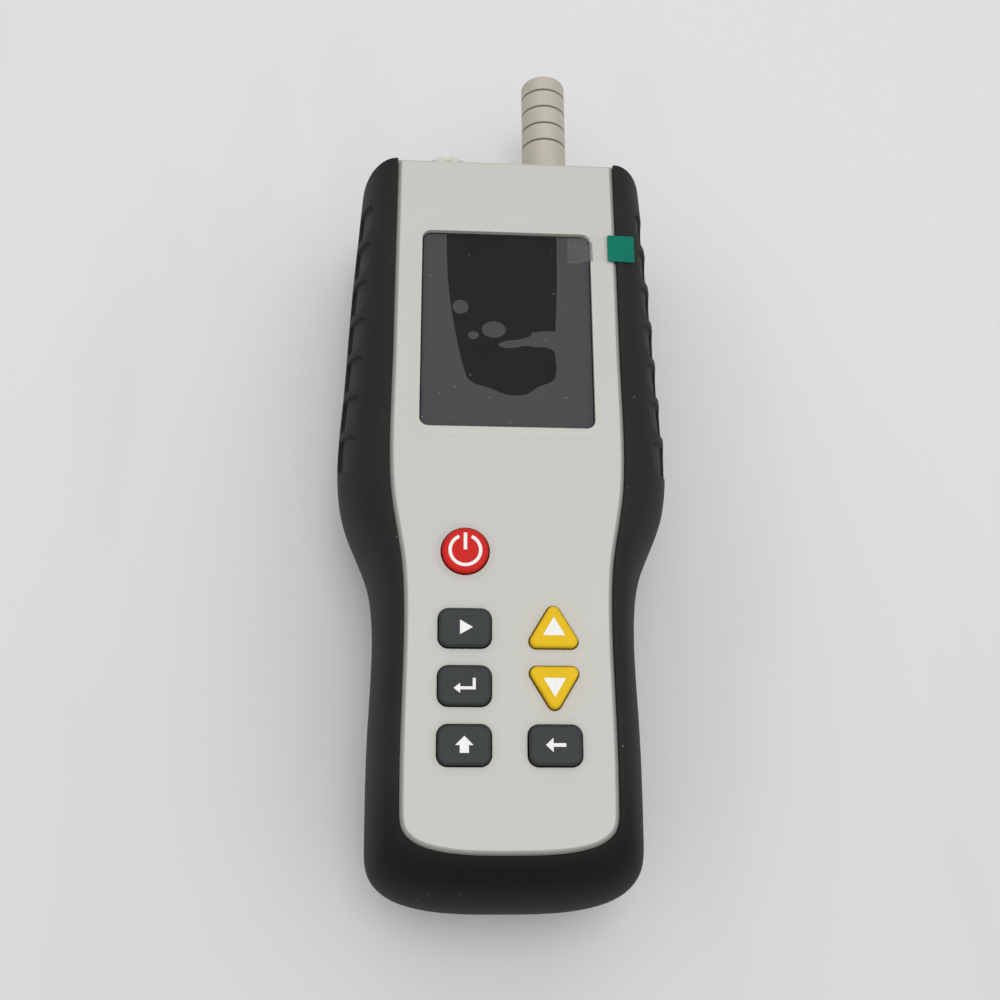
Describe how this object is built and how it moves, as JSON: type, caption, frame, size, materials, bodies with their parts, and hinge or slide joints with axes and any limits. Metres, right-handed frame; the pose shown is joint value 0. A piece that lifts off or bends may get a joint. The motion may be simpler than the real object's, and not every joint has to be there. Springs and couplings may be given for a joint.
{
  "type": "handheld airborne particle counter",
  "caption": "Handheld air particle counter with a waisted shell in a rubber boot, a display window, spring keys, a grooved metal inlet tube and an internal fan.",
  "frame": {"origin": "centre of the footprint, on the surface the instrument lies on", "axes": "+X to the right of the key pad, +Y towards the air inlet, +Z out of the face plate"},
  "size_m": [0.0752, 0.2021, 0.0474],
  "materials": {
    "shell_plastic": "fine moulded texture, light warm grey",
    "boot_rubber": "matt, soft touch",
    "lens": "clear, glossy",
    "film": "thin clear plastic film",
    "tab_plastic": "thin green plastic",
    "key_grey": "satin silicone",
    "key_red": "satin silicone",
    "key_yellow": "satin silicone",
    "silicone": "translucent grey silicone",
    "carbon": "conductive rubber",
    "display": "dark display glass",
    "black_plastic": "black moulded plastic",
    "white_plastic": "white moulded plastic",
    "foam": "black foam",
    "circuit": "green solder mask",
    "chip": "chip packages",
    "steel": "zinc plated",
    "nickel": "turned, nickel plated",
    "brass": "turned brass",
    "sensor_metal": "black anodised",
    "hose": "clear silicone tube",
    "sleeve": "blue shrink sleeve",
    "cap_plastic": "pale moulded plastic"
  },
  "bodies": {
    "root": {"front_shell": "shell_plastic", "rear_shell": "shell_plastic", "battery_door": "shell_plastic", "rubber_boot": "boot_rubber", "display_window": "lens", "protective_film": "film", "film_tape": "film", "film_pull_tab": "tab_plastic", "lcd_gasket": "foam", "lcd_glass": "display", "lcd_backlight": "white_plastic", "lcd_holder": "black_plastic", "key_mat": "silicone", "main_board": "circuit", "board_chips": "chip", "board_screws": "steel", "buzzer": "black_plastic", "shell_screws": "steel", "battery_pack": "sleeve", "battery_foam": "foam", "door_screws": "steel", "tripod_insert": "brass", "inlet_nozzle": "nickel", "inlet_seal": "carbon", "inlet_nut": "brass", "inlet_hose": "hose", "sensor_block": "sensor_metal", "sensor_lid": "sensor_metal", "sensor_screws": "steel", "laser_module": "brass", "detector_board": "circuit", "air_duct": "black_plastic", "fan_housing": "black_plastic", "climate_sensor_cap": "cap_plastic", "climate_sensor_board": "circuit"},
    "power_button": {"power_key": "key_red", "power_contact": "carbon"},
    "run_button": {"run_key": "key_grey", "run_contact": "carbon"},
    "enter_button": {"enter_key": "key_grey", "enter_contact": "carbon"},
    "shift_button": {"shift_key": "key_grey", "shift_contact": "carbon"},
    "back_button": {"back_key": "key_grey", "back_contact": "carbon"},
    "up_button": {"up_key": "key_yellow", "up_contact": "carbon"},
    "down_button": {"down_key": "key_yellow", "down_contact": "carbon"},
    "fan_wheel": {"fan_rotor": "black_plastic", "fan_shaft": "steel"}
  },
  "joints": [
    {"name": "power_press", "type": "slide", "parent": "root", "child": "power_button", "axis": [0, 0, -1], "range_m": [0, 0.0006], "stiffness_N_per_m": 2500},
    {"name": "run_press", "type": "slide", "parent": "root", "child": "run_button", "axis": [0, 0, -1], "range_m": [0, 0.0006], "stiffness_N_per_m": 2500},
    {"name": "enter_press", "type": "slide", "parent": "root", "child": "enter_button", "axis": [0, 0, -1], "range_m": [0, 0.0006], "stiffness_N_per_m": 2500},
    {"name": "shift_press", "type": "slide", "parent": "root", "child": "shift_button", "axis": [0, 0, -1], "range_m": [0, 0.0006], "stiffness_N_per_m": 2500},
    {"name": "back_press", "type": "slide", "parent": "root", "child": "back_button", "axis": [0, 0, -1], "range_m": [0, 0.0006], "stiffness_N_per_m": 2500},
    {"name": "up_press", "type": "slide", "parent": "root", "child": "up_button", "axis": [0, 0, -1], "range_m": [0, 0.0006], "stiffness_N_per_m": 2500},
    {"name": "down_press", "type": "slide", "parent": "root", "child": "down_button", "axis": [0, 0, -1], "range_m": [0, 0.0006], "stiffness_N_per_m": 2500},
    {"name": "fan_spin", "type": "hinge", "parent": "root", "child": "fan_wheel", "pos_m": [0.016, 0.00795, 0.01], "axis": [0, 0, 1], "continuous": true}
  ]
}
